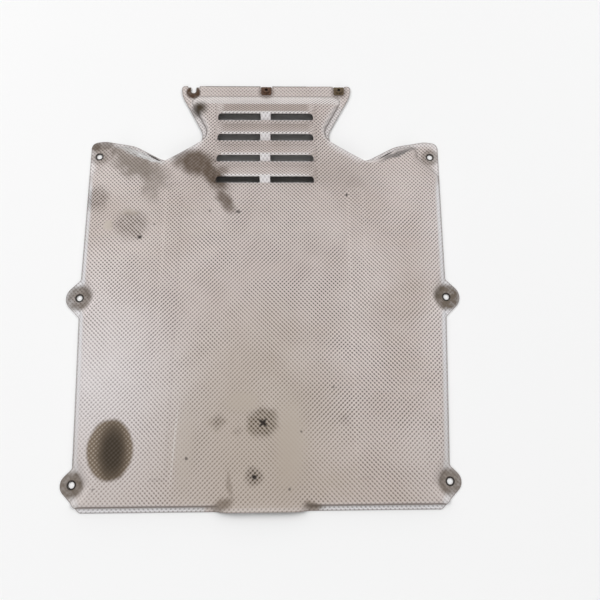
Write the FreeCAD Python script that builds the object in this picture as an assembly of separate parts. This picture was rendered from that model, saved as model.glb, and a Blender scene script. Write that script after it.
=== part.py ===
import FreeCAD, Part
import math
import os

# Engine skid plate: one pressed aluminium sheet, with the two clip nuts that are still on its front flange.
# X runs across the plate, +Y to its front flange and +Z up. The plate lies on Z = 0 with its pan upwards,
# and the origin is below the middle of its box.

# Sheet
sheet_thickness = 1.0
plate_length = 613.0
front_half_width = 260.0
middle_half_width = 254.0
rear_half_width = 239.0

# Raised pan, its rims and the runs of its sloped steps, seen in plan
pan_height = 8.0
side_rim = 1.5
side_run = 9.0
rear_rim = 5.5
rear_run = 4.0
scoop_rim = 5.0
scoop_run = 9.0
open_edge_overrun = 4.0
open_edge_run = 4.0
bend_drop = 1.2

# Front flange and neck, measured back from the front edge
flange_half_width = 131.0
flange_corner_radius = 5.0
flange_depth = 18.5
flange_run = 17.0
flange_end_inset = 1.5
flange_end_back = 17.5
flange_end_radius = 40.0
neck_lift = 1.0
neck_rim = 8.0
neck_run = 4.0
neck_foot_radius = 18.0
waist_half_width = 88.5
waist_back = 95.5
waist_radius = 22.0

# Scoops between the neck and the front corners, measured in from the corners and back from the front edge
valley_inset = 114.0
valley_back = 131.5
valley_radius = 25.0
scoop_bend_inset = 65.0
scoop_bend_back = 104.5
scoop_bend_radius = 50.0
corner_start_inset = 20.0
corner_start_back = 96.5
corner_start_radius = 30.0
corner_back = 99.5
corner_radius = 10.0

# Fixing holes, ears and the flat pads around them
hole_diameter = 8.0
corner_hole_inset = 13.0
corner_hole_back = 122.0
middle_ear_back = 338.5
middle_ear_radius = 18.5
rear_ear_forward = 33.0
rear_ear_radius = 14.5
ear_root_radius = 5.0
rear_corner_radius = 6.0
pad_inner_reach = 20.0
pad_diagonal_reach = 15.0
pad_run = 9.0
pocket_reach = 12.0
pocket_half_height = 22.0
pocket_run = 12.5
pocket_corner_radius = 3.0
pan_corner_radius = 11.0

# Tongue in the middle of the rear edge, where the pan runs out flat
tongue_half_width = 54.0
tongue_slant = 9.0

# Two long ribs
rib_half_spacing = 131.0
rib_width = 26.0
rib_length = 400.0
rib_rear_gap = 37.5
rib_height = 1.5
rib_run = 4.0

# Louvres: hoods raised over slots that open to the rear
louvre_rows = 4
louvre_pitch = 34.5
louvre_first_back = 64.5
hood_half_width = 75.0
hood_height = 8.5
hood_back_run = 20.0
hood_front_run = 7.0
hood_end_run = 7.0
hood_crest = 1.5
slot_half_bar = 7.5
slot_end_inset = 3.7
slot_height = 7.3
slot_corner_radius = 4.8

# Three open slots in the front edge, one at each fixing, and the clips on two of them
fixing_inset = 18.5
notch_width = 8.0
notch_depth = 12.5
clip_recess_depth = 2.5
clip_width = 15.6
clip_length = 14.0
clip_gauge = 0.85
clip_clearance = 0.05
clip_side_gap = 1.2
clip_corner_radius = 3.0
clip_thread_diameter = 5.0
clip_collar_diameter = 9.6
clip_collar_height = 2.2
clip_through_diameter = 7.0

front_edge = plate_length / 2
rear_edge = -plate_length / 2
pan_top = pan_height + sheet_thickness

# How far cutters reach past the sheet, how far solids sink into each other, and the least plan radius
over = 30.0
sunk = 0.5
least_radius = 3.0


def vector(x, y, z=0.0):
    return FreeCAD.Vector(x, y, z)


def back(distance):
    """Y of a place that is this far behind the front edge."""
    return front_edge - distance


def meet(first, second):
    """Point where two lines cross, each given by two points."""
    (ax, ay), (bx, by) = first
    (cx, cy), (dx, dy) = second
    ux, uy = bx - ax, by - ay
    vx, vy = dx - cx, dy - cy
    s = ((cx - ax) * vy - (cy - ay) * vx) / (ux * vy - uy * vx)
    return (ax + s * ux, ay + s * uy)


def shifted(line, distance):
    """A line moved to its right, which is into the sheet when the outline is walked clockwise."""
    (ax, ay), (bx, by) = line
    length = math.hypot(bx - ax, by - ay)
    nx, ny = (by - ay) / length, (ax - bx) / length
    return ((ax + nx * distance, ay + ny * distance), (bx + nx * distance, by + ny * distance))


def mirrored(corners):
    """A right half of corners (x, y, radius), closed by its mirror image on the left."""
    return corners + [(-x, y, radius) for x, y, radius in reversed(corners)]


def rounded_wire(corners, z):
    """A closed wire through the corners, each one replaced by an arc that is tangent to both sides."""
    starts, middles, ends = [], [], []
    count = len(corners)
    for i, (x, y, radius) in enumerate(corners):
        here = vector(x, y, z)
        before = vector(*corners[i - 1][:2], z) - here
        after = vector(*corners[(i + 1) % count][:2], z) - here
        before.normalize()
        after.normalize()
        half = before.getAngle(after) / 2
        tangent = radius / math.tan(half)
        bisector = before + after
        bisector.normalize()
        starts.append(here + before * tangent)
        ends.append(here + after * tangent)
        middles.append(here + bisector * (radius / math.sin(half) - radius))
    edges = []
    for i in range(count):
        edges.append(Part.Arc(starts[i], middles[i], ends[i]).toShape())
        edges.append(Part.LineSegment(ends[i], starts[(i + 1) % count]).toShape())
    return Part.Wire(edges)


def rectangle_wire(x0, y0, x1, y1, z):
    corners = [vector(x0, y0, z), vector(x1, y0, z), vector(x1, y1, z), vector(x0, y1, z)]
    return Part.makePolygon(corners + corners[:1])


def prism(wire, height):
    return Part.Face(wire).extrude(vector(0, 0, height))


def upright(x, y, z, diameter, height):
    return Part.makeCylinder(diameter / 2, height, vector(x, y, z))


# Lines of the outline, each walked clockwise on the right half of the plate
corner = (front_half_width, back(corner_back))
middle_hole = (middle_half_width, back(middle_ear_back))
rear_hole = (rear_half_width, rear_edge + rear_ear_forward)
corner_hole = (front_half_width - corner_hole_inset, back(corner_hole_back))
flange_corner = (flange_half_width, front_edge)
flange_end = (flange_half_width - flange_end_inset, back(flange_end_back))
waist = (waist_half_width, back(waist_back))
valley = (front_half_width - valley_inset, back(valley_back))
scoop_bend = (front_half_width - scoop_bend_inset, back(scoop_bend_back))
corner_start = (front_half_width - corner_start_inset, back(corner_start_back))

front_line = ((0.0, front_edge), flange_corner)
neck_line = (flange_end, waist)
open_line = (waist, valley)
scoop_line = (valley, scoop_bend)
shoulder_line = (scoop_bend, corner_start)
upper_side_line = (corner, middle_hole)
lower_side_line = (middle_hole, rear_hole)
rear_line = ((rear_half_width, rear_edge), (0.0, rear_edge))


def ear_flanks(hole, radius):
    """The two 45 degree flanks of an ear, with the tip where they meet."""
    tip = (hole[0] + radius * math.sqrt(2), hole[1])
    upper = ((tip[0] - radius, tip[1] + radius), tip)
    lower = (tip, (tip[0] - radius, tip[1] - radius))
    return upper, tip, lower


def outline_corners():
    upper, tip, lower = ear_flanks(middle_hole, middle_ear_radius)
    rear_upper, rear_tip, rear_lower = ear_flanks(rear_hole, rear_ear_radius)
    return mirrored([
        (*flange_corner, flange_corner_radius),
        (*flange_end, flange_end_radius),
        (*waist, waist_radius),
        (*valley, valley_radius),
        (*scoop_bend, scoop_bend_radius),
        (*corner_start, corner_start_radius),
        (*corner, corner_radius),
        (*meet(upper_side_line, upper), ear_root_radius),
        (*tip, middle_ear_radius),
        (*meet(lower, lower_side_line), ear_root_radius),
        (*meet(lower_side_line, rear_upper), ear_root_radius),
        (*rear_tip, rear_ear_radius),
        (*meet(rear_lower, rear_line), rear_corner_radius),
    ])


def pocket_lines(hole):
    """The two sides of the pocket that lets an ear's flat pad into the pan."""
    apex = (hole[0] - pocket_reach, hole[1])
    upper = ((hole[0], hole[1] + pocket_half_height), apex)
    lower = (apex, (hole[0], hole[1] - pocket_half_height))
    return upper, lower


def pan_sides():
    """Each side of the pan's foot: its line, its rim, its run and the plan radius where the next begins."""
    hx, hy = corner_hole
    pad_x = hx - pad_inner_reach
    pad_line = ((pad_x, hy + pad_inner_reach), (pad_x, hy))
    foot = (hx - pad_diagonal_reach / math.sqrt(2), hy - pad_diagonal_reach / math.sqrt(2))
    diagonal_line = (foot, (foot[0] + pad_diagonal_reach, foot[1] - pad_diagonal_reach))
    upper, lower = pocket_lines(middle_hole)
    rear_upper, rear_lower = pocket_lines(rear_hole)
    tongue_line = (
        (tongue_half_width + tongue_slant, rear_edge + rear_rim),
        (tongue_half_width, rear_edge + rear_rim - tongue_slant),
    )
    return [
        (front_line, flange_depth, flange_run, pan_corner_radius),
        (neck_line, neck_rim, neck_run, neck_foot_radius),
        (open_line, -open_edge_overrun, open_edge_run, valley_radius),
        (scoop_line, scoop_rim, scoop_run, scoop_bend_radius),
        (shoulder_line, scoop_rim, scoop_run, pan_corner_radius),
        (pad_line, 0.0, pad_run, pocket_corner_radius),
        (diagonal_line, 0.0, pad_run, pan_corner_radius),
        (upper_side_line, side_rim, side_run, pan_corner_radius),
        (upper, 0.0, pocket_run, pocket_corner_radius),
        (lower, 0.0, pocket_run, pan_corner_radius),
        (lower_side_line, side_rim, side_run, pan_corner_radius),
        (rear_upper, 0.0, pocket_run, pocket_corner_radius),
        (rear_lower, 0.0, pocket_run, pocket_corner_radius),
        (rear_line, rear_rim, rear_run, pocket_corner_radius),
        (tongue_line, 0.0, tongue_slant, pocket_corner_radius),
        (rear_line, -tongue_slant, rear_run, None),
    ]


def slope_offset(run, height, inset):
    """Plan distance from a side's foot line to its slope at this height, for the outside or the hollow."""
    slope = math.atan2(pan_height, run)
    return run * height / pan_height + inset * math.tan(slope / 2)


def crest_offset(run, inset):
    """Plan distance from a side's foot line to where the bend at the top of its slope is over."""
    slope = math.atan2(pan_height, run)
    return run + bend_drop / math.sin(slope) + inset * math.tan(slope / 4)


def pan_corners(offset_of_run):
    """Both halves of a level section of the pan, with each side moved in from its foot line."""
    sides = pan_sides()
    offsets = [offset_of_run(run) for line, rim, run, radius in sides]
    moved = [shifted(side[0], side[1] + offset) for side, offset in zip(sides, offsets)]
    corners = []
    for i in range(len(sides) - 1):
        x, y = meet(moved[i], moved[i + 1])
        (ax, ay), (bx, by) = sides[i][0]
        (cx, cy), (dx, dy) = sides[i + 1][0]
        turn = (bx - ax) * (dy - cy) - (by - ay) * (dx - cx)
        drawn_in = (offsets[i] + offsets[i + 1]) / 2
        radius = sides[i][3] + math.copysign(drawn_in, turn)
        corners.append((x, y, max(radius, least_radius)))
    return mirrored(corners)


def stack(wires):
    """A solid through level wires with like edges: flat sides on straight edges, ruled ones on arcs."""
    faces = [Part.Face(wires[0]), Part.Face(wires[-1])]
    for lower, upper in zip(wires, wires[1:]):
        for low, high in zip(lower.OrderedEdges, upper.OrderedEdges):
            if isinstance(low.Curve, Part.Line):
                (a, b), (c, d) = [[vertex.Point for vertex in edge.Vertexes] for edge in (low, high)]
                faces.append(Part.Face(Part.makePolygon([a, b, d, c, a])))
            else:
                faces.append(Part.makeRuledSurface(low, high))
    shell = Part.makeShell(faces)
    shell.sewShape()
    return Part.makeSolid(shell)


def pan(level, inset):
    """The pan as a solid: its outside with no inset, or its hollow, one sheet lower and set in."""
    bend = pan_height - bend_drop
    foot_corners = pan_corners(lambda run: slope_offset(run, -sunk, inset))
    bend_corners = pan_corners(lambda run: slope_offset(run, bend, inset))
    crest_corners = pan_corners(lambda run: crest_offset(run, inset))
    return stack([
        rounded_wire(foot_corners, level - sunk),
        rounded_wire(bend_corners, level + bend),
        rounded_wire(crest_corners, level + pan_height),
    ])


def box_form(x0, y0, x1, y1, runs, height, level, inset):
    """A raised form on a rectangular foot, with a run for its left, rear, right and front side."""
    wires = []
    for rise in (-sunk, height):
        left, rear, right, front = [
            run * rise / height + inset * math.tan(math.atan2(height, run) / 2) for run in runs
        ]
        wires.append(rectangle_wire(x0 + left, y0 + rear, x1 - right, y1 - front, level + rise))
    return stack(wires)


def raised_forms(level, inset):
    """Ribs and louvre hoods on the pan, as outsides or as hollows."""
    forms = []
    rib_y = rear_edge + rib_rear_gap
    for side in (-1, 1):
        x = side * rib_half_spacing
        forms.append(box_form(x - rib_width / 2, rib_y, x + rib_width / 2, rib_y + rib_length,
                              (rib_run,) * 4, rib_height, level, inset))
    for row in range(louvre_rows):
        y = louvre_front(row)
        depth = hood_front_run + hood_crest + hood_back_run
        forms.append(box_form(-hood_half_width, y, hood_half_width, y + depth,
                              (hood_end_run, hood_front_run, hood_end_run, hood_back_run),
                              hood_height, level, inset))
    return forms


def louvre_front(row):
    """Y of the foot of a hood's open front."""
    return back(louvre_first_back + row * louvre_pitch)


def slot_cutters():
    """One cutter for each slot: a flat-bottomed opening with a round outer top corner."""
    cutters = []
    inner, outer = slot_half_bar, hood_half_width - slot_end_inset
    low = pan_top - sheet_thickness - sunk
    high = pan_top + slot_height
    shoulder = high - slot_corner_radius
    arc_start = outer - slot_corner_radius
    reach = slot_corner_radius * math.sqrt(0.5)
    profile = [(arc_start, high), (inner, high), (inner, low), (outer, low), (outer, shoulder)]
    for row in range(louvre_rows):
        y = louvre_front(row)
        for side in (-1, 1):
            points = [vector(side * x, y, z) for x, z in profile]
            middle = vector(side * (arc_start + reach), y, shoulder + reach)
            arc = Part.Arc(points[-1], middle, points[0]).toShape()
            face = Part.Face(Part.Wire(Part.makePolygon(points).Edges + [arc]))
            cutters.append(face.extrude(vector(0, hood_front_run + sunk, 0)))
    return cutters


def fixing_places():
    """X of the three fixings on the front flange."""
    outer = flange_half_width - fixing_inset
    return {"left": -outer, "centre": 0.0, "right": outer}


def notch_cutter(x):
    """An open slot in the front edge, with the shallow recess that the clip's fold sits in."""
    low = -over
    round_y = front_edge - notch_depth + notch_width / 2
    slot = Part.makeBox(notch_width, over, 3 * over, vector(x - notch_width / 2, round_y, low))
    slot = slot.fuse(upright(x, round_y, low, notch_width, 3 * over))
    half = clip_width / 2 + clip_side_gap
    recess = Part.makeBox(2 * half, over, 3 * over, vector(x - half, front_edge - clip_recess_depth, low))
    return slot.fuse(recess)


def skid_plate():
    outline = rounded_wire(outline_corners(), 0.0)
    flat = prism(outline, sheet_thickness)
    # The neck's rim and the front flange lie a little higher, so that the clips have room below them.
    split = (waist[1] + valley[1]) / 2
    half = flange_half_width + sunk
    neck_box = Part.makeBox(2 * half, plate_length, 3 * over, vector(-half, split, -over))
    neck = flat.common(neck_box)
    neck.translate(vector(0, 0, neck_lift))
    flat = flat.cut(neck_box)
    outside = pan(sheet_thickness, 0.0)
    trim = prism(outline, over)
    outside = outside.common(trim)
    sheet = outside.multiFuse([flat, neck] + raised_forms(pan_top, 0.0))
    hollow = pan(0.0, sheet_thickness).multiFuse(raised_forms(pan_height, sheet_thickness))
    sheet = sheet.cut(hollow)
    cutters = slot_cutters()
    for x in fixing_places().values():
        cutters.append(notch_cutter(x))
    for hole in (corner_hole, middle_hole, rear_hole):
        for side in (-1, 1):
            cutters.append(upright(side * hole[0], hole[1], -over, hole_diameter, 3 * over))
    sheet = sheet.cut(Part.makeCompound(cutters))
    return sheet.removeSplitter()


def clip(x):
    """A clip nut of spring steel: two leaves joined by a fold over the edge, the upper one with a nut."""
    inner = sheet_thickness + 2 * clip_clearance
    low = neck_lift - clip_clearance - clip_gauge
    high = neck_lift + sheet_thickness + clip_clearance + clip_gauge
    nose = front_edge - clip_recess_depth + clip_clearance + clip_gauge
    tail = nose - clip_length
    body = Part.makeBox(clip_width, clip_length, high - low, vector(x - clip_width / 2, tail, low))
    tail_edges = [edge for edge in body.Edges if is_upright_at(edge, tail)]
    body = body.makeFillet(clip_corner_radius, tail_edges)
    nose_edges = [edge for edge in body.Edges if is_cross_at(edge, nose)]
    body = body.makeFillet(clip_gauge, nose_edges)
    gap_corner = vector(x - clip_width / 2, tail - clip_gauge, low + clip_gauge)
    body = body.cut(Part.makeBox(clip_width, clip_length, inner, gap_corner))
    hole_y = front_edge - notch_depth + notch_width / 2
    body = body.fuse(upright(x, hole_y, high - sunk, clip_collar_diameter, clip_collar_height + sunk))
    body = body.cut(upright(x, hole_y, high - clip_gauge - sunk, clip_thread_diameter, over))
    body = body.cut(upright(x, hole_y, low - sunk, clip_through_diameter, clip_gauge + 2 * sunk))
    return body.removeSplitter()


def is_upright_at(edge, y):
    box = edge.BoundBox
    return box.ZLength > sunk and box.XLength < sunk and abs(box.YMax - y) < sunk


def is_cross_at(edge, y):
    box = edge.BoundBox
    return box.XLength > sunk and abs(box.YMin - y) < sunk and box.YLength < sunk


def main():
    os.makedirs("parts", exist_ok=True)
    places = fixing_places()
    pieces = {
        "skid_plate": skid_plate(),
        "clip_centre": clip(places["centre"]),
        "clip_right": clip(places["right"]),
    }
    for name, shape in pieces.items():
        shape.exportStep("parts/" + name + ".step")
        box = shape.BoundBox
        print(name, shape.isValid(), len(shape.Solids), round(shape.Volume, 1),
              [round(v, 2) for v in (box.XMin, box.XMax, box.YMin, box.YMax, box.ZMin, box.ZMax)])


main()
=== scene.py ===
import math
from collections import namedtuple

import bmesh
import bpy
from mathutils import Matrix, Vector
from mathutils.kdtree import KDTree


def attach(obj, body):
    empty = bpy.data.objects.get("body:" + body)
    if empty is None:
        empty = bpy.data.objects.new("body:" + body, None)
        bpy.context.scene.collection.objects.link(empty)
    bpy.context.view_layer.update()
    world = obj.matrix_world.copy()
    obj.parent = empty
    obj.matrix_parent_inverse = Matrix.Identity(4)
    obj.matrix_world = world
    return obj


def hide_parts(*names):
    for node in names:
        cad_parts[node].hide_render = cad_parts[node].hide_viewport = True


# Lengths are metres in the part's frame: +X to the right, +Y to the front flange, +Z up

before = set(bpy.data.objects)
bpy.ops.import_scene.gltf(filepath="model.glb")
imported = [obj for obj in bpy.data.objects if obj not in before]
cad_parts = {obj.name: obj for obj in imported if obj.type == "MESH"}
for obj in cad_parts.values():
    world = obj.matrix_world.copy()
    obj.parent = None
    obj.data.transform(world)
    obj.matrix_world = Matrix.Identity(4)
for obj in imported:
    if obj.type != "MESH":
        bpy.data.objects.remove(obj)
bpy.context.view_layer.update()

# The camera of the photo
camera_place = Vector((0.0390, -0.1820, 0.6133))
camera_aim = Vector((0.0496, -0.0376, 0.0090))
camera_roll = math.radians(0.45)
camera_lens = 27.24
camera_sensor = 36.0
camera_near = 0.01

# The diamond embossing: rows of small pyramids that run at 45 degrees to the plate
emboss_pitch = 0.004
emboss_cell = emboss_pitch / 2
emboss_depth = 0.00040
row_across = Vector((1.0, 1.0, 0.0)).normalized()
row_along = Vector((-1.0, 1.0, 0.0)).normalized()

# What the mesh code takes as level, as the same place, as flat and as a bend
level_slope = 0.2
tiny = 0.000004
weld_gap = tiny / 4
flat_angle = 0.003
bend_angle = math.radians(22)

# How far from an inward bend, an outward bend and the outline their marks reach
crease_reach = 0.0035
fold_reach = 0.0016
rim_reach = 0.016
bend_step = 0.001

# The plate's features, as they lie in the frame
corner_hole = (0.247, 0.1845)
middle_hole = (0.254, -0.032)
rear_hole = (0.239, -0.2735)
holes = [
    (side * across, along)
    for side in (-1, 1)
    for across, along in (corner_hole, middle_hole, rear_hole)
]
hole_flat_reach = 0.008
hole_flat_edge = 0.005
hood_half_width = 0.076
hood_low = 0.137
hood_high = 0.272
hood_height = 0.0096
hood_emboss = 0.45
bar_half_width = 0.0075
bar_front = 0.252
flange_back = 0.288
rear_foot = -0.296

# What marks the plate: ellipses in plan, with a soft edge given as a share of the ellipse, a turn in degrees,
# and how much of the mark's colour they take
Stain = namedtuple("Stain", "x y long wide edge turn share", defaults=(0.5, 0.0, 1.0))

neck_smears = [
    Stain(-0.101, 0.171, 0.027, 0.019, 0.45, -15.0),
    Stain(-0.121, 0.175, 0.014, 0.014, 0.6, 0.0, 0.8),
    Stain(-0.078, 0.152, 0.032, 0.0125, 0.5, -50.0),
    Stain(-0.057, 0.111, 0.020, 0.0085, 0.55, -60.0, 0.85),
    Stain(-0.064, 0.155, 0.011, 0.009, 0.6, 0.0, 0.7),
]
shoulder_smears = [
    Stain(-0.187, 0.166, 0.046, 0.017, 0.7, -32.0, 0.75),
    Stain(-0.163, 0.137, 0.024, 0.014, 0.7, 80.0, 0.45),
    Stain(0.130, 0.140, 0.022, 0.012, 0.8, 20.0, 0.25),
    Stain(0.110, 0.152, 0.055, 0.024, 0.8, -20.0, 0.15),
]
pad_smears = [
    Stain(-0.2545, 0.2020, 0.0110, 0.0080, 0.5),
    Stain(-0.2400, 0.2030, 0.0130, 0.0070, 0.5, 0.0, 0.75),
    Stain(-0.2225, 0.1945, 0.0100, 0.0080, 0.6, -20.0, 0.5),
]
dark_pits = [
    Stain(0.0006, -0.1992, 0.0195, 0.0185, 0.35),
    Stain(-0.0094, -0.2652, 0.0105, 0.0105),
    Stain(-0.0571, -0.1976, 0.0085, 0.008, 0.6, 0.0, 0.75),
    Stain(-0.0317, -0.2106, 0.006, 0.006, 0.6, 0.0, 0.35),
    Stain(0.1064, -0.1969, 0.008, 0.006, 0.7, 0.0, 0.4),
    Stain(-0.2421, 0.1141, 0.017, 0.018, 0.5),
    Stain(-0.189, 0.074, 0.022, 0.021, 0.5, 0.0, 0.9),
    Stain(-0.181, 0.061, 0.010, 0.009, 0.6, 0.0, 0.85),
]
drops = [
    Stain(0.0006, -0.1992, 0.0062, 0.0016, 0.5, 50.0),
    Stain(0.0006, -0.1992, 0.0062, 0.0018, 0.5, -40.0),
    Stain(-0.0094, -0.2652, 0.0029, 0.0029),
    Stain(-0.0381, 0.0931, 0.0034, 0.0024, 0.5, 0.0, 0.7),
    Stain(0.1184, 0.1188, 0.0019, 0.0019, 0.5, 0.0, 0.9),
    Stain(-0.1758, 0.0544, 0.0026, 0.0022, 0.5, 0.0, 0.9),
    Stain(-0.1566, 0.0740, 0.0014, 0.0014, 0.5, 0.0, 0.7),
    Stain(-0.0782, 0.0939, 0.0014, 0.0014, 0.5, 0.0, 0.6),
    Stain(-0.0952, -0.2420, 0.0017, 0.0017, 0.5, 0.0, 0.7),
    Stain(0.0502, -0.2108, 0.0016, 0.0016, 0.5, 0.0, 0.6),
    Stain(0.0341, -0.2794, 0.0018, 0.0018, 0.5, 0.0, 0.6),
    Stain(-0.2094, -0.2775, 0.0015, 0.0015, 0.5, 0.0, 0.5),
    Stain(0.0926, -0.1550, 0.0015, 0.0015, 0.5, 0.0, 0.5),
]
neck_spot = Stain(-0.1015, 0.2631, 0.0100, 0.0095, 0.85)
oil_patch = Stain(-0.1919, -0.2311, 0.0290, 0.0375, 0.09, 4.0)
oil_core = Stain(-0.1885, -0.2335, 0.0170, 0.0320, 0.6, 4.0)
# The crumpled rear edge is painted, not shaped: brown dirt with the painted shade of its folds
crumples = [
    Stain(-0.0475, -0.2965, 0.0125, 0.007, 0.6, 20.0, 0.75),
    Stain(-0.0410, -0.2730, 0.0028, 0.014, 0.6, 8.0, 0.4),
    Stain(0.0640, -0.3000, 0.0115, 0.0055, 0.6, -10.0, 0.8),
]
# Thin black lines painted as shade near the valleys of the two scoops
slit_shades = [
    Stain(-0.1640, 0.1820, 0.0145, 0.0011, 0.4, -31.0),
    Stain(0.1806, 0.1876, 0.0130, 0.0012, 0.4, 31.0),
]
# A thin highlight painted along the left rib's edge on the rear half
rib_edge_highlight = Stain(-0.1115, -0.2250, 0.0014, 0.0420, 0.4, -3.0, 0.55)
# A bluish highlight painted on the left scoop's slope
scoop_highlight = Stain(-0.1854, 0.1854, 0.036, 0.0055, 0.4, -24.0, 0.75)
dark_slope = Stain(0.1970, 0.1870, 0.029, 0.0050, 0.4, 22.0)
rust_marks = [
    Stain(-0.1125, 0.2950, 0.0105, 0.0115, 0.2),
    Stain(0.0, 0.296, 0.012, 0.011, 0.35, 0.0, 0.5),
    Stain(0.1125, 0.296, 0.012, 0.011, 0.35, 0.0, 0.5),
]
disc_reaches = (0.0130, 0.0180, 0.0160) * 2
disc_shares = (0.5, 0.85, 1.0, 0.6, 1.1, 0.9)
disc_edge = 0.25
hole_marks = [
    Stain(*hole, reach, reach, disc_edge, 0.0, share)
    for hole, reach, share in zip(holes, disc_reaches, disc_shares)
]
ring_reach = 0.0060
ring_edge = 0.12
hole_rings = [Stain(*hole, ring_reach, ring_reach, ring_edge) for hole in holes]

# Tan dirt on the middle of the rear half, and around the oil drops
tan_places = [
    Stain(-0.010, -0.195, 0.095, 0.125, 0.7, 0.0, 0.38),
    Stain(0.0006, -0.2010, 0.0290, 0.0270, 0.7, 0.0, 0.55),
    Stain(-0.0571, -0.1990, 0.0180, 0.0160, 0.7, 0.0, 0.45),
    Stain(0.070, -0.270, 0.050, 0.020, 0.8, 0.0, 0.30),
]

# Cleaner metal along the side edges and in the rear right corner
clean_places = [
    Stain(-0.260, -0.200, 0.135, 0.160, 0.8, 0.0, 0.85),
    Stain(0.235, -0.255, 0.055, 0.060, 0.8, 0.0, 0.4),
    Stain(0.265, 0.020, 0.040, 0.150, 0.7, 0.0, 0.35),
]

# Places where the embossing is pressed or filled nearly flat
flat_places = [
    Stain(0.036, -0.228, 0.020, 0.056, 0.7, 0.0, 0.75),
    Stain(-0.2199, 0.0726, 0.0062, 0.0075, 0.4, 0.0, 0.9),
    Stain(-0.1919, 0.0924, 0.011, 0.0055, 0.4, 0.0, 0.8),
    Stain(-0.0266, -0.1730, 0.020, 0.013, 0.5, 0.0, 0.6),
    Stain(-0.0985, -0.2300, 0.013, 0.050, 0.6, 0.0, 0.5),
]

# Rectangles in plan, with the width of their soft edge
Block = namedtuple("Block", "low high edge")

tongue_block = Block((-0.072, -0.320), (0.072, -0.285), 0.006)
step_block = Block((-0.115, 0.2705), (0.115, flange_back), 0.0015)
crest_block = Block((-0.064, hood_low), (0.064, hood_high), 0.004)
bar_block = Block((-bar_half_width, hood_low), (bar_half_width, bar_front), 0.001)
louvre_block = Block((-0.086, 0.130), (0.086, 0.320), 0.003)
pad_block = Block((0.195, 0.140), (0.262, 0.205), 0.004)
front_edge_block = Block((-0.094, 0.3052), (0.062, 0.3100), 0.0006)

# Stretches along the plate over which a colour comes or goes, and the one between the two clips
rim_to_flange = (0.262, 0.275)
rim_to_shoulder = (0.12, 0.15)
hood_rows = (0.185, 0.262)
haze_to_rear = (-0.12, -0.30)
rear_strip = (-0.303, -0.300)
neck_start = (0.195, 0.215)
neck_end = (0.268, 0.276)
rear_slope = (-0.290, rear_foot)
between_clips = (0.04, 0.07)

# About how wide the patches of each noise are
lean_size = 0.11
patch_size = 0.09
streak_size = 0.008
ragged_size = 1.0 / 70.0
grain_size = 0.0015
fine_dirt_size = 0.03
coarse_dirt_size = 0.07
haze_size = 0.14
surface_size = 0.0022
rust_size = 0.004
fine_rust_size = 0.0008

# How far noise shifts the edges of the marks
soft_shift = 0.004
rough_shift = 0.012
torn_shift = 0.035

# Colours of the metal, and of the highlights and shade painted on it
dull_metal = (0.582, 0.508, 0.478, 1.0)
light_metal = (0.642, 0.574, 0.548, 1.0)
clean_metal = (0.72, 0.685, 0.695, 1.0)
rim_highlight_metal = (0.80, 0.79, 0.81, 1.0)
step_highlight_metal = (0.84, 0.81, 0.80, 1.0)
hood_back_shade_metal = (0.42, 0.355, 0.32, 1.0)
bar_highlight_metal = (0.90, 0.88, 0.89, 1.0)
fold_highlight_metal = (0.88, 0.87, 0.87, 1.0)
scoop_highlight_metal = (0.80, 0.83, 0.85, 1.0)
rib_edge_highlight_metal = (0.90, 0.88, 0.88, 1.0)
dark_slope_metal = (0.205, 0.188, 0.182, 1.0)
grain_metal = (0.42, 0.37, 0.35, 1.0)

# Colours of the dirt, the oil and the rust on the sheet, and of the shade painted on it
flat_brown = (0.355, 0.312, 0.255, 1.0)
pit_brown = (0.060, 0.047, 0.042, 1.0)
rear_brown = (0.36, 0.29, 0.235, 1.0)
tan_brown = (0.365, 0.310, 0.240, 1.0)
haze_brown = (0.36, 0.29, 0.23, 1.0)
crease_dirt_and_shade_brown = (0.14, 0.125, 0.115, 1.0)
neck_crease_dirt_and_shade_brown = (0.17, 0.135, 0.12, 1.0)
rear_slope_shade_brown = (0.20, 0.16, 0.14, 1.0)
neck_smear_brown = (0.096, 0.066, 0.045, 1.0)
shoulder_smear_brown = (0.150, 0.120, 0.092, 1.0)
pad_smear_brown = (0.120, 0.092, 0.070, 1.0)
crumple_dirt_and_shade_brown = (0.145, 0.110, 0.080, 1.0)
oil_brown = (0.155, 0.114, 0.078, 1.0)
oil_core_brown = (0.024, 0.014, 0.004, 1.0)
oil_top_brown = (0.38, 0.32, 0.26, 1.0)
oily_pit_brown = (0.044, 0.027, 0.012, 1.0)
neck_spot_brown = (0.040, 0.027, 0.014, 1.0)
drop_black = (0.018, 0.013, 0.010, 1.0)
disc_brown = (0.134, 0.107, 0.083, 1.0)
notch_rust = (0.062, 0.032, 0.016, 1.0)
rim_dirt_and_slit_shade_black = (0.022, 0.018, 0.015, 1.0)
front_edge_brown = (0.075, 0.058, 0.047, 1.0)
outline_brown = (0.16, 0.135, 0.12, 1.0)
wall_shade_brown = (0.105, 0.088, 0.076, 1.0)
underside_dirt_and_shade_brown = (0.085, 0.068, 0.055, 1.0)

# Colours of the clips, where the first of two is the centre clip's
dark_rusts = ((0.060, 0.029, 0.015, 1.0), (0.072, 0.048, 0.024, 1.0))
light_rusts = ((0.128, 0.061, 0.031, 1.0), (0.150, 0.103, 0.052, 1.0))
fine_rust = (0.040, 0.025, 0.018, 1.0)

# Finish of the sheet, from clean places to dirty ones, and of the clips
sheet_metallic = (0.25, 0.0)
sheet_roughness = (0.55, 0.75)
sheet_specular = 0.25
clip_metallic = 0.2
clip_roughness = 0.7

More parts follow.
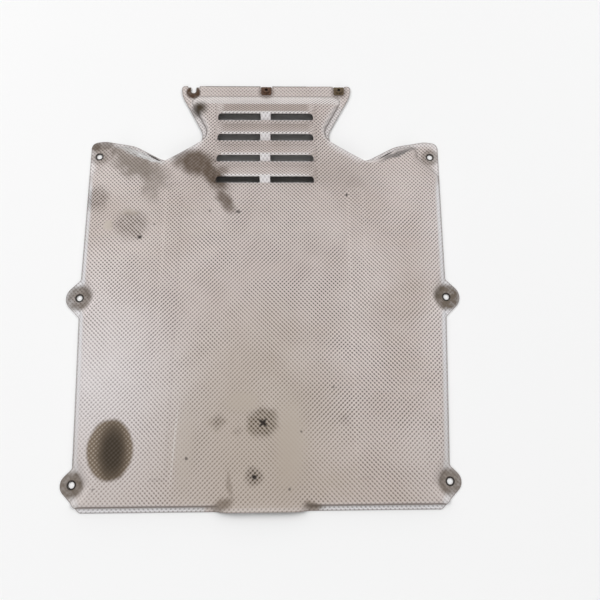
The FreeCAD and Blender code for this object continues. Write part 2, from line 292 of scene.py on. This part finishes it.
# The studio: the floor lies a hair below the part, so that no faces coincide, and the sky is the brighter to
# the front
floor_size = 8.0
floor_drop = -0.0002
floor_white = (0.95, 0.95, 0.95, 1.0)
floor_roughness = 0.9
sky_white = (1.0, 1.0, 1.0, 1.0)
sky_stretch = (-0.3, 0.7)
sky_strength = (0.08, 1.0)
Lamp = namedtuple("Lamp", "name place size power")
lamps = [
    Lamp("left lamp", (-2.2, 1.0, 2.2), 2.0, 46.0),
    Lamp("right lamp", (2.2, 1.0, 2.2), 2.0, 36.0),
    Lamp("low lamp", (0.0, -2.6, 0.9), 1.0, 20.0),
]


def smooth_step(low, high, value):
    share = min(max((value - low) / (high - low), 0.0), 1.0)
    return share * share * (3.0 - 2.0 * share)


def triangle_wave(value):
    """Runs from 0 to 0.5 and back once in each unit."""
    return abs((value + 0.5) % 1.0 - 0.5)


def pit_share(place):
    """0 on top of a pyramid, 1 at the bottom of a pit."""
    across = triangle_wave(place.dot(row_across) / emboss_pitch)
    along = triangle_wave(place.dot(row_along) / emboss_pitch)
    return across + along


def stain_share(stain, place):
    turn = math.radians(stain.turn)
    x, y = place.x - stain.x, place.y - stain.y
    far = math.hypot(
        (x * math.cos(turn) + y * math.sin(turn)) / stain.long,
        (y * math.cos(turn) - x * math.sin(turn)) / stain.wide,
    )
    return stain.share * (1.0 - smooth_step(1.0 - stain.edge, 1.0 + stain.edge, far))


def emboss_share(place):
    """How much embossing is left: none around the holes, and little on the hoods and the flat places."""
    share = 1.0 - max(stain_share(stain, place) for stain in flat_places)
    for across, along in holes:
        gap = math.hypot(place.x - across, place.y - along)
        share = min(share, smooth_step(hole_flat_reach, hole_flat_reach + hole_flat_edge, gap))
    on_hood = abs(place.x) < hood_half_width and hood_low < place.y < hood_high and place.z > hood_height
    if on_hood:
        share = share * hood_emboss
    return share


def span(face, across):
    places = [corner.co.dot(across) for corner in face.verts]
    return min(places), max(places)


def cut_along_rows(mesh, faces, across):
    """Cuts the faces along the lines, one cell apart, that stand square to a direction in plan."""
    starts = [(span(face, across)[0], number, face) for number, face in enumerate(faces)]
    waiting = sorted(starts, reverse=True)
    active = []
    line_number = math.floor(waiting[-1][0] / emboss_cell)
    while waiting or active:
        line = line_number * emboss_cell
        while waiting and waiting[-1][0] < line - tiny:
            active.append(waiting.pop()[2])
        active = [face for face in active if span(face, across)[1] > line + tiny]
        if active:
            edges = {edge for face in active for edge in face.edges}
            corners = {corner for face in active for corner in face.verts}
            cut = bmesh.ops.bisect_plane(
                mesh,
                geom=list(corners) + list(edges) + active,
                dist=tiny,
                plane_co=across * line,
                plane_no=across,
            )
            active = [item for item in cut["geom"] if isinstance(item, bmesh.types.BMFace)]
        line_number += 1


def join_flat_faces(mesh, level, across):
    """Takes out the edges of flat areas that don't lie along a row, and the corners that they leave."""

    def is_spare(edge):
        if len(edge.link_faces) != 2 or not all(face[level] for face in edge.link_faces):
            return False
        start, end = (corner.co.dot(across) for corner in edge.verts)
        return abs(start - end) > tiny and edge.calc_face_angle() < flat_angle

    bmesh.ops.dissolve_edges(mesh, edges=[edge for edge in mesh.edges if is_spare(edge)])

    def is_straight(corner):
        if len(corner.link_edges) != 2:
            return False
        start, end = (edge.other_vert(corner).co - corner.co for edge in corner.link_edges)
        return start.angle(-end) < flat_angle

    bmesh.ops.dissolve_verts(mesh, verts=[corner for corner in mesh.verts if is_straight(corner)])


def sort_edge(edge):
    """What an edge of the upper side is: an inward crease, an outward fold, the outline's rim or none."""
    level = [face.normal.z > level_slope for face in edge.link_faces]
    if len(level) != 2 or not any(level):
        return None
    if all(level):
        angle = edge.calc_face_angle_signed()
        if abs(angle) < bend_angle:
            return None
        return "fold" if angle > 0.0 else "crease"
    middle = (edge.verts[0].co + edge.verts[1].co) / 2
    if any(math.hypot(middle.x - across, middle.y - along) < hole_flat_reach for across, along in holes):
        return None
    in_louvres = abs(middle.x) < hood_half_width and hood_low < middle.y < hood_high
    return "fold" if in_louvres else "rim"


def tree_along(edges):
    """All places along some edges, for finding the nearest."""
    places = []
    for edge in edges:
        start, end = (corner.co for corner in edge.verts)
        steps = max(1, math.ceil((end - start).length / bend_step))
        places.extend(start.lerp(end, step / steps) for step in range(steps + 1))
    tree = KDTree(len(places))
    for number, place in enumerate(places):
        tree.insert(place, number)
    tree.balance()
    return tree


def embossed_sheet(node):
    """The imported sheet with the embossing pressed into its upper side."""
    mesh = bmesh.new()
    mesh.from_mesh(node.data)
    bmesh.ops.remove_doubles(mesh, verts=mesh.verts, dist=weld_gap)
    mesh.normal_update()
    reaches = {"crease": crease_reach, "fold": fold_reach, "rim": rim_reach}
    trees = {kind: tree_along([edge for edge in mesh.edges if sort_edge(edge) == kind]) for kind in reaches}
    level = mesh.faces.layers.int.new("level")
    slope = mesh.faces.layers.float.new("slope")
    for face in mesh.faces:
        face[level] = int(face.normal.z > level_slope)
        face[slope] = 1.0 - face.normal.z if face[level] else 0.0
    cut_along_rows(mesh, [face for face in mesh.faces if face[level]], row_across)
    join_flat_faces(mesh, level, row_across)
    cut_along_rows(mesh, [face for face in mesh.faces if face[level]], row_along)
    layers = {kind: mesh.verts.layers.float.new(kind) for kind in reaches}
    upper = {corner for face in mesh.faces if face[level] for corner in face.verts}
    for corner in upper:
        for kind, reach in reaches.items():
            corner[layers[kind]] = 1.0 - smooth_step(0.0, reach, trees[kind].find(corner.co)[2])
    for corner in upper:
        corner.co.z -= emboss_depth * pit_share(corner.co) * emboss_share(corner.co)
    for face in mesh.faces:
        face.smooth = False
    data = bpy.data.meshes.new("embossed_sheet")
    mesh.to_mesh(data)
    mesh.free()
    piece = bpy.data.objects.new("embossed_sheet", data)
    bpy.context.scene.collection.objects.link(piece)
    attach(piece, "root")
    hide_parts("skid_plate")
    return piece


class Nodes:
    """Short calls that add the nodes of a material."""

    def __init__(self, name):
        self.material = bpy.data.materials.new(name)
        self.material.use_nodes = True
        self.tree = self.material.node_tree
        self.shader = self.tree.nodes["Principled BSDF"]
        self.place = self.add("ShaderNodeTexCoord").outputs["Object"]

    def add(self, kind, **settings):
        node = self.tree.nodes.new(kind)
        for name, value in settings.items():
            setattr(node, name, value)
        return node

    def feed(self, socket, value):
        if isinstance(value, bpy.types.NodeSocket):
            self.tree.links.new(value, socket)
        else:
            socket.default_value = value

    def math(self, operation, *values):
        node = self.add("ShaderNodeMath", operation=operation)
        for socket, value in zip(node.inputs, values):
            self.feed(socket, value)
        return node.outputs[0]

    def split(self, value):
        node = self.add("ShaderNodeSeparateXYZ")
        self.feed(node.inputs[0], value)
        return list(node.outputs)

    def ramp(self, value, low, high, start=0.0, end=1.0):
        """A smooth change from start to end while the value goes from low to high."""
        node = self.add("ShaderNodeMapRange", interpolation_type="SMOOTHSTEP")
        for socket, given in zip(node.inputs, (value, low, high, start, end)):
            self.feed(socket, given)
        return node.outputs[0]

    def noise_node(self, size, detail=2.0, roughness=0.5):
        node = self.add("ShaderNodeTexNoise")
        self.feed(node.inputs["Vector"], self.place)
        self.feed(node.inputs["Scale"], 1.0 / size)
        self.feed(node.inputs["Detail"], detail)
        self.feed(node.inputs["Roughness"], roughness)
        return node

    def noise(self, *settings):
        """Noise from 0 to 1 whose patches are about as wide as the size."""
        return self.noise_node(*settings).outputs["Fac"]

    def mix(self, share, first, second):
        node = self.add("ShaderNodeMix", data_type="RGBA")
        colour_sockets = node.inputs[6:8]
        self.feed(node.inputs[0], share)
        self.feed(colour_sockets[0], first)
        self.feed(colour_sockets[1], second)
        return node.outputs[2]

    def attribute(self, name):
        return self.add("ShaderNodeAttribute", attribute_name=name).outputs["Fac"]

    def rough_surface(self, height, strength, reach):
        bump = self.add("ShaderNodeBump")
        bump.inputs["Strength"].default_value = strength
        bump.inputs["Distance"].default_value = reach
        self.feed(bump.inputs["Height"], height)
        self.feed(self.shader.inputs["Normal"], bump.outputs[0])

    def stain(self, plan, stain):
        """The stain's share inside its ellipse, and 0 outside, at a place in plan."""
        turn = math.radians(stain.turn)
        axes = (
            (math.cos(turn), math.sin(turn), stain.long),
            (-math.sin(turn), math.cos(turn), stain.wide),
        )
        squares = 0.0
        for over, up, reach in axes:
            start = -(stain.x * over + stain.y * up) / reach
            part = self.math("MULTIPLY_ADD", plan[0], over / reach, start)
            part = self.math("MULTIPLY_ADD", plan[1], up / reach, part)
            squares = self.math("MULTIPLY_ADD", part, part, squares)
        far = self.math("SQRT", squares)
        return self.ramp(far, 1.0 - stain.edge, 1.0 + stain.edge, stain.share, 0.0)

    def stains(self, plan, stains):
        """The largest share that any of the stains has at a place in plan."""
        found = 0.0
        for stain in stains:
            found = self.math("MAXIMUM", found, self.stain(plan, stain))
        return found

    def product(self, *values):
        found = values[0]
        for value in values[1:]:
            found = self.math("MULTIPLY", found, value)
        return found

    def block(self, plan, block):
        """1 inside the rectangle, and 0 outside, at a place in plan."""
        found = 1.0
        for value, low, high in zip(plan, block.low, block.high):
            inward = self.ramp(value, low - block.edge, low + block.edge)
            outward = self.ramp(value, high - block.edge, high + block.edge, 1.0, 0.0)
            found = self.product(found, inward, outward)
        return found

    def most(self, values):
        found = values[0]
        for value in values[1:]:
            found = self.math("MAXIMUM", found, value)
        return found


class SheetPaint(Nodes):
    """Dull embossed aluminium with dirt in its pits, smears, oil stains and dirty holes, and with highlights
    and shade painted into its colour.
    """

    def __init__(self):
        super().__init__("embossed aluminium")
        self.plan = self.split(self.place)[:2]
        self.along_plate = self.plan[1]
        self.pit = self.emboss_pits()
        self.facing = self.split(self.add("ShaderNodeNewGeometry").outputs["True Normal"])[2]
        self.slope = self.attribute("slope")
        self.patches = self.noise(patch_size, 3.0)
        self.streaks = self.noise(streak_size, 4.0, 0.65)
        # Stains have ragged edges, so they are looked up at places that noise has shifted
        parts = self.add("ShaderNodeSeparateColor")
        self.feed(parts.inputs[0], self.noise_node(ragged_size, 3.0).outputs["Color"])
        self.shift = [self.math("SUBTRACT", part, 0.5) for part in parts.outputs[:2]]
        self.soft_place = self.shaken(soft_shift)
        self.rough_place = self.shaken(rough_shift)
        self.torn_place = self.shaken(torn_shift)
        self.clean = self.stains(self.plan, clean_places)
        self.dirty = []

    def shaken(self, reach):
        """The place in plan, shifted by up to about half the reach."""
        return [
            self.math("MULTIPLY_ADD", shift, reach, value)
            for shift, value in zip(self.shift, self.plan)
        ]

    def emboss_pits(self):
        """0 on top of a pyramid, 1 at the bottom of a pit, with one set of rows the deeper in some areas."""
        waves = []
        for row in (row_across, row_along):
            rows = self.math("MULTIPLY", self.plan[0], row.x / emboss_pitch)
            rows = self.math("MULTIPLY_ADD", self.plan[1], row.y / emboss_pitch, rows)
            waves.append(self.math("PINGPONG", rows, 0.5))
        lean = self.ramp(self.noise(lean_size, 1.0), 0.35, 0.65, 0.75, 1.25)
        other_lean = self.math("SUBTRACT", 2.0, lean)
        return self.math("ADD", self.product(waves[0], lean), self.product(waves[1], other_lean))

    def metal(self):
        """Clean metal, a little patchy, with highlights painted along the rims, the flange step, the bridges
        between the louvre slots, the folds, a rib edge and the left scoop slope, and shade painted on the
        hood backs.
        """
        colour = self.mix(self.ramp(self.patches, 0.3, 0.7), dull_metal, light_metal)
        colour = self.mix(self.clean, colour, clean_metal)
        # Highlight painted on the sloped rims along the outline, weaker towards the flange, the tongue and
        # the shoulders
        rim = self.product(
            self.attribute("rim"),
            self.ramp(self.along_plate, *rim_to_flange, 1.0, 0.2),
            self.ramp(self.block(self.plan, tongue_block), 0.0, 1.0, 1.0, 0.15),
            self.ramp(self.along_plate, *rim_to_shoulder, 1.0, 0.4),
        )
        colour = self.mix(self.ramp(rim, 0.0, 0.7), colour, rim_highlight_metal)
        # Highlight painted on the step behind the front flange
        step = self.product(self.block(self.plan, step_block), 0.6)
        colour = self.mix(step, colour, step_highlight_metal)
        # Shade painted on the gently sloping backs of the louvre hoods, stronger in the rows nearer the
        # flange
        crests = self.block(self.plan, crest_block)
        hood_back_shade = self.product(
            crests,
            self.ramp(self.slope, 0.03, 0.06),
            self.ramp(self.along_plate, *hood_rows),
        )
        colour = self.mix(hood_back_shade, colour, hood_back_shade_metal)
        # Highlight painted on the steep bridges between the louvre slots
        self.bar_highlights = self.product(self.block(self.plan, bar_block), self.ramp(self.slope, 0.12, 0.3))
        colour = self.mix(self.bar_highlights, colour, bar_highlight_metal)
        # Highlight painted along the outward folds, strongest on the hood crests and slot lips
        fold = self.product(self.attribute("fold"), self.ramp(crests, 0.0, 1.0, 0.10, 0.75))
        colour = self.mix(fold, colour, fold_highlight_metal)
        # Painted bluish highlight on the left scoop slope
        colour = self.mix(self.stain(self.rough_place, scoop_highlight), colour, scoop_highlight_metal)
        # Painted highlight on a rib edge
        colour = self.mix(self.stain(self.plan, rib_edge_highlight), colour, rib_edge_highlight_metal)
        colour = self.mix(self.stain(self.rough_place, dark_slope), colour, dark_slope_metal)
        grain = self.ramp(self.noise(grain_size), 0.25, 0.75, 0.0, 0.25)
        return self.mix(grain, colour, grain_metal)

    def pit_dirt(self, colour):
        """Dirt in the pits, patchy, and least on slopes, rims, clean metal and flat places."""
        flat = self.stains(self.rough_place, flat_places)
        share = self.product(
            self.ramp(self.pit, 0.38, 0.86),
            self.ramp(self.noise(fine_dirt_size, 4.0, 0.6), 0.3, 0.7, 0.8, 1.0),
            self.ramp(self.noise(coarse_dirt_size), 0.35, 0.6, 0.85, 1.0),
            self.ramp(flat, 0.0, 1.0, 1.0, 0.0),
            self.ramp(self.slope, 0.05, 0.25, 1.0, 0.55),
            self.ramp(self.attribute("rim"), 0.0, 1.0, 1.0, 0.6),
            self.ramp(self.most([self.bar_highlights, self.clean]), 0.0, 1.0, 1.0, 0.6),
        )
        colour = self.mix(self.product(flat, 0.6), colour, flat_brown)
        return self.mix(share, colour, pit_brown)

    def haze(self, colour):
        """A brown haze towards the rear edge, a tan one on the rear half, and a light one in patches."""
        rear = self.product(
            self.ramp(self.along_plate, *haze_to_rear, 0.0, 0.35),
            self.ramp(self.patches, 0.25, 0.65, 0.5, 1.0),
            # The haze stops short of the rear strip, so that the highlight painted there stays light
            self.ramp(self.along_plate, *rear_strip),
        )
        colour = self.mix(rear, colour, rear_brown)
        colour = self.mix(self.stains(self.torn_place, tan_places), colour, tan_brown)
        light = self.ramp(self.noise(haze_size), 0.50, 0.75, 0.0, 0.18)
        return self.mix(light, colour, haze_brown)

    def bends(self, colour):
        """Dirt and painted shade along the inward bends, darkest on the neck, and painted shade on the rear
        slope.
        """
        crease = self.attribute("crease")
        louvres = self.block(self.plan, louvre_block)
        plain = self.product(
            crease,
            self.ramp(louvres, 0.0, 1.0, 0.2, 0.04),
            self.ramp(self.block(self.plan, pad_block), 0.0, 1.0, 1.0, 2.5),
        )
        # Dirt with painted shade along the inward creases
        colour = self.mix(plain, colour, crease_dirt_and_shade_brown)
        on_neck = self.product(
            self.ramp(crease, 0.5, 1.0),
            self.ramp(self.along_plate, *neck_start, 0.0, 0.45),
            self.ramp(self.along_plate, *neck_end, 1.0, 0.0),
            self.ramp(louvres, 0.0, 1.0, 1.0, 0.0),
        )
        colour = self.mix(on_neck, colour, neck_crease_dirt_and_shade_brown)
        # Shade painted on the steep rear slope
        shade_on_rear_slope = self.product(
            self.ramp(self.slope, 0.2, 0.4),
            self.ramp(self.along_plate, *rear_slope),
            0.8,
        )
        return self.mix(shade_on_rear_slope, colour, rear_slope_shade_brown)

    def smears(self, colour):
        """Brown smears by the neck, the left shoulder and the corner pad, and brown dirt with painted shade
        on the crumpled rear edge.
        """
        even = self.product(
            self.ramp(self.streaks, 0.3, 0.65, 0.85, 1.0),
            self.ramp(self.pit, 0.0, 0.8, 0.90, 1.0),
        )
        groups = (
            (self.rough_place, neck_smears, neck_smear_brown),
            (self.torn_place, shoulder_smears, shoulder_smear_brown),
            (self.soft_place, pad_smears, pad_smear_brown),
            (self.rough_place, crumples, crumple_dirt_and_shade_brown),
        )
        for place, stains, brown in groups:
            share = self.product(self.stains(place, stains), even)
            colour = self.mix(share, colour, brown)
            self.dirty.append(share)
        return colour

    def oil(self, colour):
        """The oval oil patch, dark in its middle with lighter tops at its sides, and the small drops."""
        core = self.stain(self.soft_place, oil_core)
        brown = self.mix(core, oil_brown, oil_core_brown)
        tops = self.product(
            self.ramp(self.pit, 0.15, 0.60, 0.85, 0.0),
            self.ramp(core, 0.0, 0.7, 1.0, 0.08),
        )
        brown = self.mix(tops, brown, oil_top_brown)
        patch = self.stain(self.soft_place, oil_patch)
        colour = self.mix(self.product(patch, 0.97), colour, brown)
        rings = self.product(
            self.stains(self.rough_place, dark_pits),
            self.ramp(self.pit, 0.35, 0.8, 0.24, 0.97),
            self.ramp(self.streaks, 0.35, 0.6, 0.7, 1.0),
        )
        colour = self.mix(rings, colour, oily_pit_brown)
        spot = self.stain(self.soft_place, neck_spot)
        colour = self.mix(spot, colour, neck_spot_brown)
        small = self.stains(self.soft_place, drops)
        self.dirty.extend([patch, spot, small])
        return self.mix(small, colour, drop_black)

    def fixings(self, colour):
        """Dirty discs where washers sat, rust by the clips, black rims, thin black shade painted near the
        scoop valleys, and the dark front edge.
        """
        discs = self.product(
            self.stains(self.soft_place, hole_marks),
            self.ramp(self.streaks, 0.25, 0.7, 0.65, 1.0),
        )
        colour = self.mix(discs, colour, disc_brown)
        rust = self.product(
            self.stains(self.soft_place, rust_marks),
            self.ramp(self.streaks, 0.3, 0.6, 0.85, 1.0),
        )
        colour = self.mix(rust, colour, notch_rust)
        # Black rims of the holes, and black shade painted near the scoop valleys
        black = self.stains(self.plan, hole_rings + slit_shades)
        colour = self.mix(black, colour, rim_dirt_and_slit_shade_black)
        edge = self.product(self.block(self.plan, front_edge_block), 0.8)
        colour = self.mix(edge, colour, front_edge_brown)
        self.dirty.extend([discs, rust, black])
        return colour

    def edges_and_underside(self, colour):
        """Dark cut edges, upright faces painted dark as shade, and an underside painted dark with dirt and
        shade.
        """
        outline = self.ramp(self.attribute("rim"), 0.955, 0.995, 0.0, 0.55)
        colour = self.mix(outline, colour, outline_brown)
        # Shade painted on the steep and upright faces
        painted_wall_shade = self.ramp(self.math("ABSOLUTE", self.facing), 0.15, 0.25, 0.8, 0.0)
        colour = self.mix(painted_wall_shade, colour, wall_shade_brown)
        # The underside is painted dark with dirt and with shade, which also darkens what shows through the
        # slots
        underside_dirt_and_shade = self.ramp(self.facing, -0.3, -0.1, 0.85, 0.0)
        self.dirty.append(underside_dirt_and_shade)
        return self.mix(underside_dirt_and_shade, colour, underside_dirt_and_shade_brown)


def sheet_material():
    paint = SheetPaint()
    colour = paint.metal()
    layers = (
        paint.pit_dirt,
        paint.haze,
        paint.bends,
        paint.smears,
        paint.oil,
        paint.fixings,
        paint.edges_and_underside,
    )
    for layer in layers:
        colour = layer(colour)
    dirty = paint.most(paint.dirty)
    paint.feed(paint.shader.inputs["Base Color"], colour)
    paint.feed(paint.shader.inputs["Metallic"], paint.ramp(dirty, 0.0, 1.0, *sheet_metallic))
    paint.feed(paint.shader.inputs["Roughness"], paint.ramp(dirty, 0.0, 1.0, *sheet_roughness))
    paint.shader.inputs["Specular IOR Level"].default_value = sheet_specular
    paint.rough_surface(paint.noise(surface_size, 3.0), strength=0.25, reach=0.0003)
    return paint.material


def clip_material():
    """Rust over spring steel, redder on the centre clip than on the right one."""
    paint = Nodes("rusty steel")
    on_right = paint.ramp(paint.split(paint.place)[0], *between_clips)
    dark = paint.mix(on_right, *dark_rusts)
    light = paint.mix(on_right, *light_rusts)
    colour = paint.mix(paint.ramp(paint.noise(rust_size, 4.0, 0.65), 0.3, 0.7), dark, light)
    fine = paint.noise(fine_rust_size, 3.0)
    colour = paint.mix(paint.ramp(fine, 0.4, 0.8, 0.0, 0.5), colour, fine_rust)
    paint.feed(paint.shader.inputs["Base Color"], colour)
    paint.shader.inputs["Metallic"].default_value = clip_metallic
    paint.shader.inputs["Roughness"].default_value = clip_roughness
    paint.rough_surface(fine, strength=0.5, reach=0.0002)
    return paint.material


def studio_floor():
    bpy.ops.mesh.primitive_plane_add(size=floor_size)
    floor = bpy.context.active_object
    floor.name = "floor"
    floor.location.z = floor_drop
    paint = Nodes("pale floor")
    paint.shader.inputs["Base Color"].default_value = floor_white
    paint.shader.inputs["Roughness"].default_value = floor_roughness
    paint.shader.inputs["Specular IOR Level"].default_value = 0.0
    floor.data.materials.append(paint.material)


def studio_sky():
    """A soft white light from all around, and a plain white backdrop for the camera and what shines."""
    world = bpy.data.worlds.new("studio")
    bpy.context.scene.world = world
    world.use_nodes = True
    nodes = world.node_tree.nodes
    link = world.node_tree.links.new
    sky = nodes["Background"]
    sky.inputs["Color"].default_value = sky_white
    toward = nodes.new("ShaderNodeTexCoord")
    parts = nodes.new("ShaderNodeSeparateXYZ")
    change = nodes.new("ShaderNodeMapRange")
    change.interpolation_type = "SMOOTHSTEP"
    for socket, value in zip(change.inputs[1:], sky_stretch + sky_strength):
        socket.default_value = value
    link(toward.outputs["Generated"], parts.inputs[0])
    link(parts.outputs[1], change.inputs[0])
    strength = change.outputs[0]
    path = nodes.new("ShaderNodeLightPath")
    for kind in ("Is Camera Ray", "Is Glossy Ray", "Is Transmission Ray"):
        seen = nodes.new("ShaderNodeMath")
        seen.operation = "MAXIMUM"
        link(strength, seen.inputs[0])
        link(path.outputs[kind], seen.inputs[1])
        strength = seen.outputs[0]
    link(strength, sky.inputs["Strength"])


def studio_lamps():
    """Large soft lamps that aim at the middle of the part."""
    for lamp in lamps:
        light = bpy.data.lights.new(lamp.name, "AREA")
        light.shape = "SQUARE"
        light.size = lamp.size
        light.energy = lamp.power
        stand = bpy.data.objects.new(lamp.name, light)
        stand.location = lamp.place
        stand.rotation_euler = (-Vector(lamp.place)).to_track_quat("-Z", "Y").to_euler()
        bpy.context.scene.collection.objects.link(stand)


def photo_camera():
    forward = (camera_aim - camera_place).normalized()
    level = forward.cross(Vector((0.0, 1.0, 0.0))).normalized()
    right = Matrix.Rotation(camera_roll, 3, forward) @ level
    above = right.cross(forward)
    turn = Matrix((right, above, -forward)).transposed().to_4x4()
    camera = bpy.data.cameras.new("photo camera")
    camera.lens = camera_lens
    camera.sensor_width = camera_sensor
    camera.clip_start = camera_near
    stand = bpy.data.objects.new("photo camera", camera)
    stand.matrix_world = Matrix.Translation(camera_place) @ turn
    bpy.context.scene.collection.objects.link(stand)
    bpy.context.scene.camera = stand


sheet = embossed_sheet(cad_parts["skid_plate"])
sheet.data.materials.clear()
sheet.data.materials.append(sheet_material())
rusty_steel = clip_material()
for word in ("clip_centre", "clip_right"):
    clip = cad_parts[word]
    clip.data.materials.clear()
    clip.data.materials.append(rusty_steel)
studio_floor()
studio_sky()
studio_lamps()
photo_camera()
bpy.context.scene.view_settings.view_transform = "Standard"
